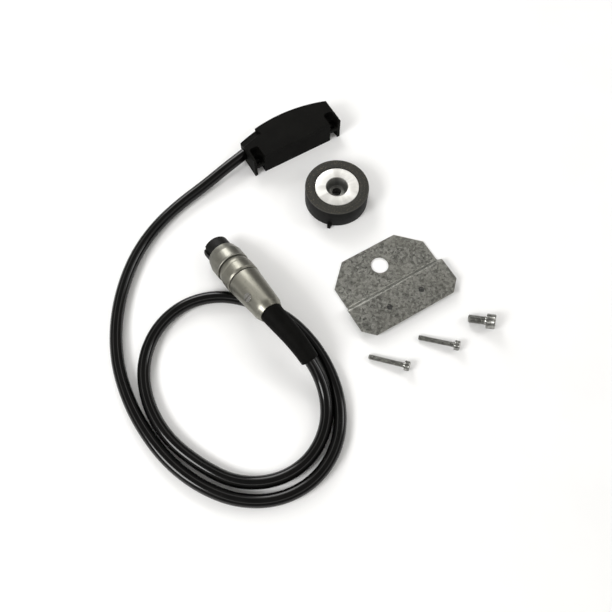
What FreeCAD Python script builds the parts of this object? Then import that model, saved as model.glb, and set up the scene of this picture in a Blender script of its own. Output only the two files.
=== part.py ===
import FreeCAD, Part
import math
import os

# Magnetic rotary encoder kit, laid out loose on a flat surface: a sensor head with a moulded-on cable and
# a round screw-locking connector, the magnet wheel that it reads, a joggled sheet plate and three cap screws.
# Millimetres. The origin is the wheel's axis at its underside, +Z up, +X along the sensor head, floor at z = 0.

V = FreeCAD.Vector
Z = V(0, 0, 1)

# ---- magnet wheel
wheel_dia = 38.6
wheel_height = 13.5
rim_chamfer = 0.35
hub_dia = 26.4
hub_glue = 0.05             # radial glue line between magnet ring and hub
core_dia = 13.3
core_glue = 0.03
screw_recess_dia = 9.4      # takes the head of the hub screw
screw_recess_depth = 5.0
recess_mouth_dia = 12.5
recess_mouth_depth = 3.0
shaft_seat_dia = 10.0
shaft_seat_depth = 3.0
hub_screw_hole = 5.5
lug_length = 2.5
lug_root = 3.4
lug_tip = 1.8
lug_height = 2.4
lug_angle = 226.5

# ---- sensor head: head_x is its middle, head_y its sensing face
head_x = -4.1
head_y = 39.9
head_length = 62.0
head_height = 15.5
head_end_depth = 18.2
head_mid_depth = 23.6
head_edge = 0.5
end_screw_pitch = 53.2
end_screw_inset = 2.8
end_screw_hole = 3.4
body_half = 23.8            # half length of the sensing face between the two end slots
ear_wall = 1.8
slot_top = 6.8              # underside of the web that the screw head presses on
web_thick = 2.3
slot_depth = 7.5
counterbore_dia = 6.2
pocket_floor = 12.0
pocket_depth = 9.2
pocket_width = 6.2
pocket_round = 2.0
face_wall = 1.2
side_wall = 1.8
roof = 1.8
cavity_left = -17.5
cavity_right = 22.0
cavity_round = 1.5
cover_thick = 1.4
cover_ledge = 0.6
cover_gap = 0.08
groove_radius = 5.4
groove_depth = 3.0
groove_angle = 15.5
groove_inset = 17.4         # groove axis from the sensing face, at the head's end
groove_length = 13.0

# ---- parts inside the head
board_thick = 1.0
board_gap = 0.2
board_back = 4.0            # back of the board, from the sensing face
board_left = -14.0
board_right = 19.0
hall_size = 4.0
hall_pitch = 7.2
chip_length, chip_width, chip_high = 9.9, 3.9, 1.6
cap_length, cap_width, cap_high = 2.0, 1.25, 1.0
cap_count = 4
cap_pitch = 3.4
wire_radius = 0.45
wire_count = 6
wire_pitch = 1.1

# ---- cable
cable_dia = 7.0
cable_rest = cable_dia / 2 + 0.05
cable_out_y = 13.5          # where the cable axis leaves the end wall, from the sensing face
cable_out_z = 7.6
cable_out_angle = 12.0      # the bore follows the head's curved back
cable_fit = 0.1             # radial
cable_inside = 18.5         # jacket length inside the head, from the end wall
crimp_gap = 0.03
crimp_wall = 0.5
crimp_length = 4.0
crimp_seat_gap = 0.1

# ---- connector: distances run back from the front of the insert, along its axis
tip = V(-81.0, 3.28, 7.59)
plan_heading = -84.4
tilt = 13.6                 # the insert's edge rests on the floor, the clamp sleeve on the strand under it
insert_dia = 15.8
insert_front = 8.05         # length that stands out of the coupling ring
insert_step = 13.6
insert_rear_dia = 13.8
insert_length = 22.4
insert_chamfer = 0.5
key_width = 2.4
key_depth = 1.1
key_angle = -57.0           # round the axis from the top
contact_count = 8
contact_circle = 8.6
contact_dia = 1.9
contact_bore = 1.1
contact_bore_depth = 7.0
contact_rear = 3.0          # solder cup behind the insert
carrier_bore_gap = 0.05
carrier_wall = 0.9
carrier_flange = 0.45
carrier_flange_width = 2.0
carrier_end = 35.6
ring_dia = 20.2
ring_nose_dia = 17.6
ring_nose = 5.0
ring_thread_dia = 17.0
ring_lip_front = 15.9
ring_end = 20.4
turn_gap = 0.1              # radial running clearance of the coupling ring
washer_thick = 0.45
washer_gap = 0.05
clamp_nose_dia = 18.8
clamp_nose = 4.8
clamp_dia = 20.3
clamp_rim_dia = 19.9
clamp_rim = 1.3
clamp_end = 32.3
gasket_thick = 0.3
gasket_inset = 0.5
thread_gap = 0.05
shell_front_dia = 19.7
shell_front_chamfer = 0.5
shell_knee_dia = 16.0
shell_knee = 56.9
shell_end_dia = 13.3
shell_end = 60.4
shell_wall = 1.5
shell_mouth_dia = 11.0
jacket_start = 39.2
clamp_screw_at = 48.0
clamp_screw_angle = -43.0
clamp_screw_dia = 5.0
clamp_screw_gap = 0.1
clamp_screw_proud = 0.25
screw_slot_width = 0.9
screw_slot_depth = 1.0
saddle_wall = 1.0
saddle_half_length = 4.5
saddle_gap = 0.05
saddle_half_angle = 55.0

# ---- bend relief boot
boot_fit = 0.12             # radial, over the cable
boot_neck = 7.0
boot_neck_gap = 0.1
boot_root_dia = 12.7
boot_tip_dia = 10.2
boot_length = 32.0
boot_start = 1.5            # the sleeve is drawn from inside the shell and cut off flat at its end
boot_sections = 9

# ---- sheet plate
plate_thick = 1.0
plate_x = -2.0
plate_far = -39.75
plate_near = -89.9
far_half = 31.1
near_half = 32.5
far_cut = 12.8
near_cut = 6.4
joggle_foot = -66.6
joggle_top = -69.0
joggle_rise = 3.5
bend_inside = 1.0
big_hole_dia = 10.5
big_hole_y = -52.6
small_hole_dia = 3.4
small_hole_pitch = 21.6
small_hole_y = -79.3

# ---- cap screws: thread diameter, length, head diameter, head height, socket across flats
m5 = {"thread": 5.0, "length": 10.0, "head": 8.5, "high": 5.0, "socket": 4.0, "deep": 2.5}
m3 = {"thread": 3.0, "length": 20.0, "head": 5.5, "high": 3.0, "socket": 2.5, "deep": 1.5}
hub_screw_spot = (32.8, -117.1, 135.0)      # middle of the head's outer face, and the way the tip points
head_screw_spots = ((8.1, -118.1, 135.0), (-22.5, -114.0, 133.5))
floor_gap = 0.02

head_left = -head_length / 2
exit_way = V(-math.cos(math.radians(cable_out_angle)), -math.sin(math.radians(cable_out_angle)), 0)
exit_point = V(head_x + head_left, head_y + cable_out_y, cable_out_z)
jacket_end = exit_point - exit_way * cable_inside

# Connector frame: z runs back along the axis, y is the upward side, x completes it.
back = V(
    math.cos(math.radians(tilt)) * math.cos(math.radians(plan_heading)),
    math.cos(math.radians(tilt)) * math.sin(math.radians(plan_heading)),
    math.sin(math.radians(tilt)),
)
upward = Z - back * back.z
upward.normalize()
connector_frame = FreeCAD.Placement(tip, FreeCAD.Rotation(upward.cross(back), upward, back, "ZXY"))


def on_axis(distance):
    return tip + back * distance


# Route of the cable, head to connector. Inside the head and the back shell it is straight.
route = [
    jacket_end,
    exit_point + exit_way * 7,
    V(-66.5, 46.9, 4.4),
    V(-87.0, 42.8, cable_rest),
    V(-106.0, 35.8, cable_rest),
    V(-123.4, 24.8, cable_rest),
    V(-138.7, 9.3, cable_rest),
    V(-151.3, -9.5, cable_rest),
    V(-159.8, -30.5, cable_rest),
    V(-163.2, -52.5, cable_rest),
    V(-162.6, -74.0, cable_rest),
    V(-158.4, -94.8, cable_rest),
    V(-149.6, -113.7, cable_rest),
    V(-136.3, -129.6, cable_rest),
    V(-118.0, -139.6, cable_rest),
    V(-97.3, -140.4, cable_rest),
    V(-78.7, -131.1, cable_rest),
    V(-66.5, -114.0, cable_rest),
    V(-61.1, -94.0, cable_rest),
    V(-61.2, -73.5, cable_rest),
    V(-66.2, -54.4, cable_rest),
    V(-77.2, -37.8, cable_rest),
    V(-93.3, -23.0, cable_rest),
    V(-113.5, -17.8, cable_rest),
    V(-133.4, -23.8, cable_rest),
    V(-148.3, -38.8, cable_rest),
    V(-155.2, -59.6, cable_rest),
    V(-154.2, -82.5, cable_rest),
    V(-144.7, -104.8, cable_rest),
    V(-132.7, -121.6, cable_rest),
    V(-113.9, -131.1, cable_rest),
    V(-93.5, -129.9, cable_rest),
    V(-76.6, -117.8, 3.8),
    V(-68.2, -98.4, 7.4),
    V(-70.2, -77.0, 17.4),
    on_axis(shell_end),
    on_axis(jacket_start),
]


# ---- helpers
def turned(profile):
    """Solid of revolution about Z from (radius, z) corners."""
    corners = [V(r, 0, z) for r, z in profile]
    return Part.Face(Part.makePolygon(corners + corners[:1])).revolve(V(), Z, 360)


def ring(outer, inner, low, high):
    return turned([(inner, low), (outer, low), (outer, high), (inner, high)])


def prism(corners, low, high):
    points = [V(x, y, low) for x, y in corners]
    return Part.Face(Part.makePolygon(points + points[:1])).extrude(V(0, 0, high - low))


def block(low, high):
    size = high - low
    return Part.makeBox(size.x, size.y, size.z, low)


def round_edges(shape, radius, wanted):
    return shape.makeFillet(radius, [edge for edge in shape.Edges if wanted(edge)])


def upright(edge):
    a, b = edge.Vertexes[0].Point, edge.Vertexes[-1].Point
    return abs(a.x - b.x) < 1e-6 and abs(a.y - b.y) < 1e-6 and abs(a.z - b.z) > 1e-6


def rounded_path(points):
    """Straight runs joined by tangent arcs, each as large as its two runs allow."""
    edges, radii = [], []
    start = points[0]
    for before, corner, after in zip(points, points[1:], points[2:]):
        run_in, run_out = corner - before, after - corner
        a, b = V(run_in).normalize(), V(run_out).normalize()
        half_turn = a.getAngle(b) / 2
        reach = 0.45 * min(run_in.Length, run_out.Length)
        radius = reach / math.tan(half_turn)
        inward = (b - a).normalize()
        middle = corner + inward * (radius / math.cos(half_turn) - radius)
        edges.append(Part.LineSegment(start, corner - a * reach).toShape())
        edges.append(Part.Arc(corner - a * reach, middle, corner + b * reach).toShape())
        start = corner + b * reach
        radii.append(radius)
    edges.append(Part.LineSegment(start, points[-1]).toShape())
    return edges, radii


def round_bar(edges, radius):
    wire = Part.Wire(edges)
    first = edges[0]
    way = first.tangentAt(first.FirstParameter)
    section = Part.Wire(Part.makeCircle(radius, first.Vertexes[0].Point, way))
    return wire.makePipeShell([section], True, False)


def point_along(edges, distance):
    """Point and direction on the path, so far from its end, measured backwards."""
    for edge in reversed(edges):
        if distance <= edge.Length:
            place = edge.getParameterByLength(edge.Length - distance)
            return edge.valueAt(place), edge.tangentAt(place)
        distance -= edge.Length
    raise ValueError("the path is shorter than that")


def save(name, *solids):
    shape = solids[0] if len(solids) == 1 else Part.makeCompound(list(solids))
    for solid in shape.Solids:
        if not solid.isValid() or solid.Volume <= 0:
            raise ValueError(name + " holds a faulty solid")
    shape.exportStep("parts/" + name + ".step")
    box = shape.BoundBox
    print(f"{name:22s} {len(shape.Solids):2d} solid  {shape.Volume:9.1f} mm3  z {box.ZMin:6.2f} {box.ZMax:6.2f}")


def save_in_head(name, *solids):
    save(name, *[solid.translated(V(head_x, head_y, 0)) for solid in solids])


def save_in_connector(name, *solids):
    for solid in solids:
        solid.Placement = connector_frame.multiply(solid.Placement)
    save(name, *solids)


# ---- magnet wheel
def magnet_ring():
    outer, inner, top = wheel_dia / 2, hub_dia / 2 + hub_glue, wheel_height
    body = turned([
        (inner, 0), (outer - rim_chamfer, 0), (outer, rim_chamfer), (outer, top - rim_chamfer),
        (outer - rim_chamfer, top), (inner + rim_chamfer, top), (inner, top - rim_chamfer),
    ])
    root = outer - 1.0
    lug = prism([(root, -lug_root / 2), (outer + lug_length, -lug_tip / 2),
                 (outer + lug_length, lug_tip / 2), (root, lug_root / 2)], 0, lug_height)
    lug.rotate(V(), Z, lug_angle)
    return body.fuse(lug).removeSplitter()


def wheel_hub():
    outer, inner, top = hub_dia / 2, core_dia / 2 + core_glue, wheel_height
    return turned([
        (inner, 0), (outer - rim_chamfer, 0), (outer, rim_chamfer),
        (outer, top - rim_chamfer), (outer - rim_chamfer, top), (inner, top),
    ])


def hub_core():
    top, seat = wheel_height, shaft_seat_depth
    floor = top - screw_recess_depth - 0.6
    mouth = top - 0.6
    return turned([
        (shaft_seat_dia / 2, 0), (core_dia / 2, 0), (core_dia / 2, mouth), (recess_mouth_dia / 2, mouth),
        (screw_recess_dia / 2, mouth - recess_mouth_depth), (screw_recess_dia / 2, floor),
        (hub_screw_hole / 2, floor), (hub_screw_hole / 2, seat), (shaft_seat_dia / 2, seat),
    ])


# ---- sensor head
def back_outline(inset):
    """Radius and centre of the curved back, drawn in by inset."""
    half, rise = head_length / 2, head_mid_depth - head_end_depth
    radius = (half * half + rise * rise) / (2 * rise)
    return radius - inset, head_mid_depth - radius


def head_block(inset, left, right, front, low, high):
    """Part of the head's plan between two ends, drawn in by inset at the curved back."""
    radius, centre = back_outline(inset)

    def back_at(x):
        return centre + math.sqrt(radius * radius - x * x)

    a, b = V(left, back_at(left), low), V(right, back_at(right), low)
    middle = (left + right) / 2
    edges = [
        Part.LineSegment(V(left, front, low), V(right, front, low)).toShape(),
        Part.LineSegment(V(right, front, low), b).toShape(),
        Part.Arc(b, V(middle, back_at(middle), low), a).toShape(),
        Part.LineSegment(a, V(left, front, low)).toShape(),
    ]
    return Part.Face(Part.Wire(edges)).extrude(V(0, 0, high - low))


def end_cuts(side):
    """Screw slot, counterbore and upper pocket at one end; side is -1 or 1."""
    screw_x = side * end_screw_pitch / 2
    ear = side * (head_length / 2 - ear_wall)
    low_x, high_x = sorted((side * body_half, ear))
    floor = slot_top + web_thick
    over = head_height + 1
    slot = block(V(low_x, -1, -1), V(high_x, slot_depth, slot_top))
    half = pocket_width / 2
    middle = (low_x + high_x) / 2
    pocket = block(V(middle - half, -5, pocket_floor), V(middle + half, pocket_depth, over))
    pocket = round_edges(pocket, pocket_round, lambda e: upright(e) and e.BoundBox.YMin > 0)
    bore = Part.makeCylinder(counterbore_dia / 2, over - floor, V(screw_x, end_screw_inset, floor))
    mouth = block(V(low_x, -1, floor), V(high_x, end_screw_inset, over))
    hole = Part.makeCylinder(end_screw_hole / 2, floor + 2, V(screw_x, end_screw_inset, -1))
    return [slot, pocket, bore, mouth, hole]


def cable_bore(radius, start, end):
    """Cylinder on the cable's axis in the head's own frame, between two distances inside the end wall."""
    way = V(-exit_way.x, -exit_way.y, 0)
    base = V(head_left, cable_out_y, cable_out_z) + way * start
    return Part.makeCylinder(radius, end - start, base, way)


crimp_start = cable_inside - crimp_length - 0.4
crimp_in = cable_dia / 2 + crimp_gap
crimp_out = crimp_in + crimp_wall


def head_housing():
    body = head_block(0, head_left, -head_left, 0, 0, head_height)
    body = body.makeChamfer(head_edge, [e for e in body.Edges if e.BoundBox.ZMin > head_height - 0.1
                                        and e.BoundBox.YMax > 0.1])
    cavity = head_block(side_wall, cavity_left, cavity_right, face_wall, -1, head_height - roof)
    cavity = round_edges(cavity, cavity_round, upright)
    recess = head_block(side_wall - cover_ledge, cavity_left - cover_ledge, cavity_right + cover_ledge,
                        face_wall - cover_ledge, -1, cover_thick)
    turn = math.radians(groove_angle)
    way = V(math.cos(turn), math.sin(turn), 0)
    lift = head_height + groove_radius - groove_depth
    groove = Part.makeCylinder(groove_radius, groove_length + 6, V(head_left, groove_inset, lift) - way * 6, way)
    seat = cable_bore(crimp_out + crimp_seat_gap, crimp_start - crimp_seat_gap, cable_inside)
    cuts = [cavity, recess, groove, cable_bore(cable_dia / 2 + cable_fit, -5, cable_inside), seat]
    for side in (-1, 1):
        cuts += end_cuts(side)
    return body.cut(cuts).removeSplitter()


def head_cover():
    grow = cover_ledge - cover_gap
    return head_block(side_wall - grow, cavity_left - grow, cavity_right + grow, face_wall - grow, 0, cover_thick)


board_low = cover_thick + board_gap
board_high = head_height - roof - board_gap


def sensor_board():
    return block(V(board_left, board_back - board_thick, board_low), V(board_right, board_back, board_high))


def on_board_front(x, width, high, depth):
    z = (board_low + board_high) / 2
    y = board_back - board_thick
    return block(V(x - width / 2, y - depth, z - high / 2), V(x + width / 2, y, z + high / 2))


def hall_sensors():
    depth = board_back - board_thick - face_wall - board_gap
    middle = (board_left + board_right) / 2
    return [on_board_front(middle + side * hall_pitch / 2, hall_size, hall_size, depth) for side in (-1, 1)]


def driver_chip():
    z = (board_low + board_high) / 2
    x = board_right - 2 - chip_length
    return block(V(x, board_back, z - chip_width / 2), V(x + chip_length, board_back + chip_high, z + chip_width / 2))


def capacitors():
    z = board_low + 1.0
    x = board_right - 2 - cap_length
    return [block(V(x - i * cap_pitch, board_back, z), V(x - i * cap_pitch + cap_length, board_back + cap_high,
                                                        z + cap_width)) for i in range(cap_count)]


def head_wires():
    """Conductors from the end of the jacket to the back of the board, one above the other."""
    way = V(-exit_way.x, -exit_way.y, 0)
    start = V(head_left, cable_out_y, 0) + way * cable_inside
    wires = []
    for i in range(wire_count):
        z = cable_out_z + (i - (wire_count - 1) / 2) * wire_pitch
        a = V(start.x, start.y, z)
        b = a + way * 5
        c = V(b.x + 3.5, board_back + 5, z)
        d = V(b.x + 3.5, board_back, z)
        wires.append(round_bar(rounded_path([a, b, c, d])[0], wire_radius))
    return wires


def cable_crimp():
    outer = cable_bore(crimp_out, crimp_start, crimp_start + crimp_length)
    return outer.cut(cable_bore(crimp_in, crimp_start - 1, crimp_start + crimp_length + 1))


# ---- cable and boot
cable_edges, cable_radii = rounded_path(route)


def bend_boot():
    """Tapered sleeve over the cable where it leaves the back shell, with a neck inside it."""
    outside, inside = [], []
    hole = cable_dia / 2 + boot_fit
    root = shell_end - jacket_start
    for i in range(boot_sections):
        share = i / (boot_sections - 1)
        point, way = point_along(cable_edges, root - boot_start + share * (boot_length + boot_start))
        radius = boot_root_dia / 2 + (boot_tip_dia - boot_root_dia) / 2 * share
        outside.append(Part.Wire(Part.makeCircle(radius, point, way)))
    for i in range(boot_sections + 2):
        share = i / (boot_sections + 1)
        point, way = point_along(cable_edges, root - boot_neck - 1 + share * (boot_length + boot_neck + 2))
        inside.append(Part.Wire(Part.makeCircle(hole, point, way)))
    neck_start = shell_end - boot_neck
    sleeve = Part.makeLoft(outside, True)
    sleeve = sleeve.cut(Part.makeCylinder(ring_dia, boot_neck, on_axis(neck_start + 0.05), back))
    neck = Part.makeCylinder(shell_mouth_dia / 2 - boot_neck_gap, boot_neck + 0.3, on_axis(neck_start), back)
    return sleeve.fuse(neck).cut(Part.makeLoft(inside, True)).removeSplitter()


# ---- connector, in its own frame
def round_way(angle):
    """Unit vector across the axis, so many degrees round from the upward side."""
    turn = math.radians(angle)
    return V(math.sin(turn), math.cos(turn), 0)


def contact_places():
    places = [V(0, 0, 0)]
    for i in range(contact_count - 1):
        places.append(round_way(key_angle + (i + 0.5) * 360 / (contact_count - 1)) * (contact_circle / 2))
    return places


def contact_insert():
    r, c = insert_dia / 2, insert_chamfer
    body = turned([(0, 0), (r - c, 0), (r, c), (r, insert_step), (insert_rear_dia / 2, insert_step),
                   (insert_rear_dia / 2, insert_length), (0, insert_length)])
    key = block(V(-key_width / 2, r - key_depth, -1), V(key_width / 2, r + 2, insert_step))
    key.rotate(V(), Z, -key_angle)
    holes = [Part.makeCylinder(contact_dia / 2 + 0.02, insert_length + 2, p - Z) for p in contact_places()]
    return body.cut([key] + holes)


def contact_sockets():
    sockets = []
    for place in contact_places():
        base = place + V(0, 0, 0.8)
        length = insert_length + contact_rear - 0.8
        body = Part.makeCylinder(contact_dia / 2, length, base)
        bore = Part.makeCylinder(contact_bore / 2, contact_bore_depth, base - Z * 0.5)
        cup = Part.makeCylinder(wire_radius + 0.1, contact_rear, place + V(0, 0, insert_length + 0.5))
        sockets.append(body.cut([bore, cup]))
    return sockets


carrier_in = insert_rear_dia / 2 + carrier_bore_gap
carrier_out = carrier_in + carrier_wall


def insert_carrier():
    front = insert_step + carrier_bore_gap
    flange_back = front + carrier_flange_width
    flange = carrier_out + carrier_flange
    return turned([(carrier_in, front), (flange, front), (flange, flange_back), (carrier_out, flange_back),
                   (carrier_out, carrier_end), (carrier_in, carrier_end)])


def coupling_ring():
    r, front = ring_dia / 2, insert_front
    lip = carrier_out + turn_gap
    return turned([
        (ring_thread_dia / 2, front), (ring_nose_dia / 2, front), (r, front + ring_nose), (r, ring_end - 0.3),
        (r - 0.3, ring_end), (lip, ring_end), (lip, ring_lip_front), (ring_thread_dia / 2, ring_lip_front),
    ])


def friction_washer():
    return ring(clamp_nose_dia / 2 - 0.4, carrier_out + thread_gap, ring_end + washer_gap,
                ring_end + washer_gap + washer_thick)


def clamp_sleeve():
    front = ring_end + 2 * washer_gap + washer_thick
    rim = clamp_rim_dia / 2
    return turned([
        (carrier_out + thread_gap, front), (clamp_nose_dia / 2, front), (clamp_dia / 2, front + clamp_nose),
        (clamp_dia / 2, clamp_end - clamp_rim), (rim, clamp_end - clamp_rim), (rim, clamp_end),
        (carrier_out + thread_gap, clamp_end),
    ])


def shell_gasket():
    return ring(shell_front_dia / 2 - gasket_inset, carrier_out + thread_gap, clamp_end + 0.02,
                clamp_end + gasket_thick)


def shell_radius(distance):
    share = (distance - clamp_end) / (shell_knee - clamp_end)
    return shell_front_dia / 2 + (shell_knee_dia - shell_front_dia) / 2 * share


def back_shell():
    front = clamp_end + gasket_thick + 0.02
    c = shell_front_chamfer
    socket = carrier_end + 0.3
    body = turned([
        (carrier_out + thread_gap, front), (shell_front_dia / 2 - c, front), (shell_radius(front + c), front + c),
        (shell_knee_dia / 2, shell_knee), (shell_end_dia / 2, shell_end), (shell_mouth_dia / 2, shell_end),
        (shell_mouth_dia / 2, shell_end - boot_neck - 0.5), (shell_radius(socket) - shell_wall - 1, socket),
        (carrier_out + thread_gap, socket),
    ])
    way = round_way(clamp_screw_angle)
    hole = Part.makeCylinder(clamp_screw_dia / 2 + clamp_screw_gap, 12, V(0, 0, clamp_screw_at) + way, way)
    return body.cut(hole)


def cable_saddle():
    inner = cable_dia / 2 + saddle_gap
    outer = inner + saddle_wall
    low = clamp_screw_at - saddle_half_length
    sector = Part.makeCylinder(outer, 2 * saddle_half_length, V(0, 0, low), Z, 2 * saddle_half_angle)
    sector = sector.cut(Part.makeCylinder(inner, 2 * saddle_half_length + 2, V(0, 0, low - 1)))
    sector.rotate(V(), Z, 90 - saddle_half_angle - clamp_screw_angle)
    return sector


def clamp_screw():
    way = round_way(clamp_screw_angle)
    seat = cable_dia / 2 + saddle_gap + saddle_wall + 0.02
    top = shell_radius(clamp_screw_at) + clamp_screw_proud
    centre = V(0, 0, clamp_screw_at)
    body = Part.makeCylinder(clamp_screw_dia / 2, top - seat, centre + way * seat, way)
    slot = block(V(-clamp_screw_dia, -screw_slot_width / 2, top - screw_slot_depth),
                 V(clamp_screw_dia, screw_slot_width / 2, top + 1))
    slot.Placement = FreeCAD.Placement(centre, FreeCAD.Rotation(V(way.y, -way.x, 0) * 0.98 + Z * 0.2, V(), way, "ZXY"))
    return body.cut(slot)


def connector_wires():
    """Conductors from the solder cups to the end of the jacket; the one on the axis is straight."""
    middle, *around = contact_places()
    cup = insert_length + contact_rear
    end = jacket_start - 0.1
    wires = [Part.makeCylinder(wire_radius, end - insert_length - 0.7, middle + Z * (insert_length + 0.7))]
    for place in around:
        path = [place + Z * (insert_length + 0.7), place + Z * (cup + 1.5), place * 0.5 + Z * end]
        wires.append(round_bar(rounded_path(path)[0], wire_radius))
    return wires


# ---- sheet plate
def sheet_plate():
    t, rise, low = plate_thick, joggle_rise, plate_near - 5
    slope = math.atan2(rise, joggle_foot - joggle_top)
    shift = t * math.tan(slope / 2)
    side = [
        V(0, plate_far, 0), V(0, joggle_foot + shift, 0), V(0, joggle_top + shift, rise), V(0, low, rise),
        V(0, low, rise + t), V(0, joggle_top, rise + t), V(0, joggle_foot, t), V(0, plate_far, t),
    ]
    wide = near_half + 5
    strip = Part.Face(Part.makePolygon(side + side[:1])).extrude(V(2 * wide, 0, 0)).translated(V(-wide, 0, 0))

    def bend(at):
        return [e for e in strip.Edges if abs(e.Vertexes[0].Point.x - e.Vertexes[-1].Point.x) > wide
                and (e.CenterOfMass - at).Length < 0.01]

    inner = bend(V(0, joggle_foot, t)) + bend(V(0, joggle_top + shift, rise))
    outer = bend(V(0, joggle_foot + shift, 0)) + bend(V(0, joggle_top, rise + t))
    strip = strip.makeFillet(bend_inside, inner)
    outer = [e for e in strip.Edges if any((e.CenterOfMass - o.CenterOfMass).Length < 0.01 for o in outer)]
    strip = strip.makeFillet(bend_inside + t, outer)
    step = (joggle_foot + joggle_top) / 2 + 0.6
    outline = prism([
        (-far_half, step), (-near_half, step - 1.5), (-near_half, plate_near + near_cut),
        (-near_half + near_cut, plate_near), (near_half - near_cut, plate_near), (near_half, plate_near + near_cut),
        (near_half, step - 1.5), (far_half, step), (far_half, plate_far - far_cut), (far_half - far_cut, plate_far),
        (-far_half + far_cut, plate_far), (-far_half, plate_far - far_cut),
    ], -1, rise + t + 1)
    holes = [Part.makeCylinder(big_hole_dia / 2, 10, V(0, big_hole_y, -1))]
    for side_way in (-1, 1):
        holes.append(Part.makeCylinder(small_hole_dia / 2, 10, V(side_way * small_hole_pitch / 2, small_hole_y, -1)))
    return strip.common(outline).cut(holes).translated(V(plate_x, 0, 0))


# ---- cap screws
def cap_screw(size, spot):
    """Socket head screw lying on the floor, on the edge of its head and on its tip."""
    head, shank, high, length = size["head"] / 2, size["thread"] / 2, size["high"], size["length"]
    edge = 0.08 * size["head"]
    body = turned([(0, 0), (head - edge, 0), (head, edge), (head, high), (shank, high),
                   (shank, high + length - edge), (shank - edge, high + length), (0, high + length)])
    across = size["socket"] / math.sqrt(3)
    corners = [(across * math.cos(math.radians(60 * i)), across * math.sin(math.radians(60 * i))) for i in range(6)]
    body = body.cut(prism(corners, -1, size["deep"]))
    lean = math.atan2(head - (shank - edge), length)
    x, y, heading = spot
    way = V(math.cos(math.radians(heading)), math.sin(math.radians(heading)), 0)
    along = way * math.cos(lean) - Z * math.sin(lean)
    side = V(-way.y, way.x, 0)
    body.Placement = FreeCAD.Placement(V(x, y, 0), FreeCAD.Rotation(side, V(), along, "ZXY"))
    body = body.copy()
    body.translate(V(0, 0, floor_gap - body.optimalBoundingBox(False).ZMin))
    return body


# ---- build
os.makedirs("parts", exist_ok=True)

save("magnet_ring", magnet_ring())
save("wheel_hub", wheel_hub())
save("hub_core", hub_core())

save_in_head("head_housing", head_housing())
save_in_head("head_base_cover", head_cover())
save_in_head("sensor_board", sensor_board())
save_in_head("hall_sensors", *hall_sensors())
save_in_head("line_driver_chip", driver_chip())
save_in_head("board_capacitors", *capacitors())
save_in_head("head_wires", *head_wires())
save_in_head("cable_crimp", cable_crimp())

cable = round_bar(cable_edges, cable_dia / 2)
path_length = sum(edge.Length for edge in cable_edges)
outside_length = path_length - cable_inside - (shell_end - jacket_start)
print("cable arcs, radii in mm:", ", ".join(f"{radius:.0f}" for radius in cable_radii))
print(f"cable path {path_length:.1f} mm, of it {outside_length:.1f} mm outside head and connector")
print(f"cable volume over section times length: {cable.Volume / (math.pi * cable_dia ** 2 / 4 * path_length):.5f}")
save("cable", cable)
save("cable_boot", bend_boot())

save_in_connector("contact_insert", contact_insert())
save_in_connector("contact_sockets", *contact_sockets())
save_in_connector("insert_carrier", insert_carrier())
save_in_connector("coupling_ring", coupling_ring())
save_in_connector("friction_washer", friction_washer())
save_in_connector("clamp_sleeve", clamp_sleeve())
save_in_connector("shell_gasket", shell_gasket())
save_in_connector("back_shell", back_shell())
save_in_connector("cable_saddle", cable_saddle())
save_in_connector("clamp_screw", clamp_screw())
save_in_connector("connector_wires", *connector_wires())

save("sheet_plate", sheet_plate())
save("hub_screw", cap_screw(m5, hub_screw_spot))
for number, place in enumerate(head_screw_spots, 1):
    save(f"head_screw_{number}", cap_screw(m3, place))
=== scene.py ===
import math
import bpy
import bmesh
from mathutils import Matrix, Vector


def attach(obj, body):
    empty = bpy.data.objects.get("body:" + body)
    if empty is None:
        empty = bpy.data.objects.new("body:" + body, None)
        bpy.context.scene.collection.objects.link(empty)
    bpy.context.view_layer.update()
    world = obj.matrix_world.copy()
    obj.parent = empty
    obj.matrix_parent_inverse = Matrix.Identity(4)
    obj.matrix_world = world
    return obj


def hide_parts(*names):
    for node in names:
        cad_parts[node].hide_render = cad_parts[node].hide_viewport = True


# Magnetic rotary encoder kit: sensor head, cable and connector, magnet wheel, sheet plate, cap screws.
# Profiles are in millimetres and become metres when a piece is made.

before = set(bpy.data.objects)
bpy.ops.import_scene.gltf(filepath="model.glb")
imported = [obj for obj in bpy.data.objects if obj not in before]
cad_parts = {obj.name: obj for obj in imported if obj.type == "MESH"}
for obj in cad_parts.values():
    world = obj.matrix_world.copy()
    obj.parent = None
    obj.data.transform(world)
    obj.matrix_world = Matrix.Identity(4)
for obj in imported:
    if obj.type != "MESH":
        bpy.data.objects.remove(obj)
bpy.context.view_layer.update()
mm = 0.001
scene = bpy.context.scene
print("frame loaded,", len(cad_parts), "nodes")


# ---- camera, light and floor
view = {"place": (-0.1230, -0.1735, 0.3286), "look": (0.1971, 0.3374, -0.9205), "lens": 36.47}
lamps = {
    "keyLeft": {"place": (-0.62, -0.10, 0.50), "aim": (-0.05, -0.03, 0.0), "size": 0.30, "power": 3.0},
    "sideRight": {"place": (0.55, -0.30, 0.38), "aim": (-0.03, -0.03, 0.0), "size": 0.25, "power": 0.9},
    "backLong": {"place": (0.05, 0.62, 0.42), "aim": (-0.03, -0.03, 0.0), "size": 0.35, "power": 2.2},
}
room = {"tint": (1.0, 0.985, 0.95), "strength": 0.24,
        "band": 2.2, "low": 0.66, "high": 0.77, "soft": 0.03}        # the band's height is the sine of its elevation


def addCamera():
    lens = bpy.data.cameras.new("camera")
    lens.lens, lens.sensor_width = view["lens"], 36
    lens.clip_start, lens.clip_end = 0.01, 10
    camera = bpy.data.objects.new("camera", lens)
    camera.location = view["place"]
    camera.rotation_euler = Vector(view["look"]).to_track_quat("-Z", "Y").to_euler()
    scene.collection.objects.link(camera)
    scene.camera = camera


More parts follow.
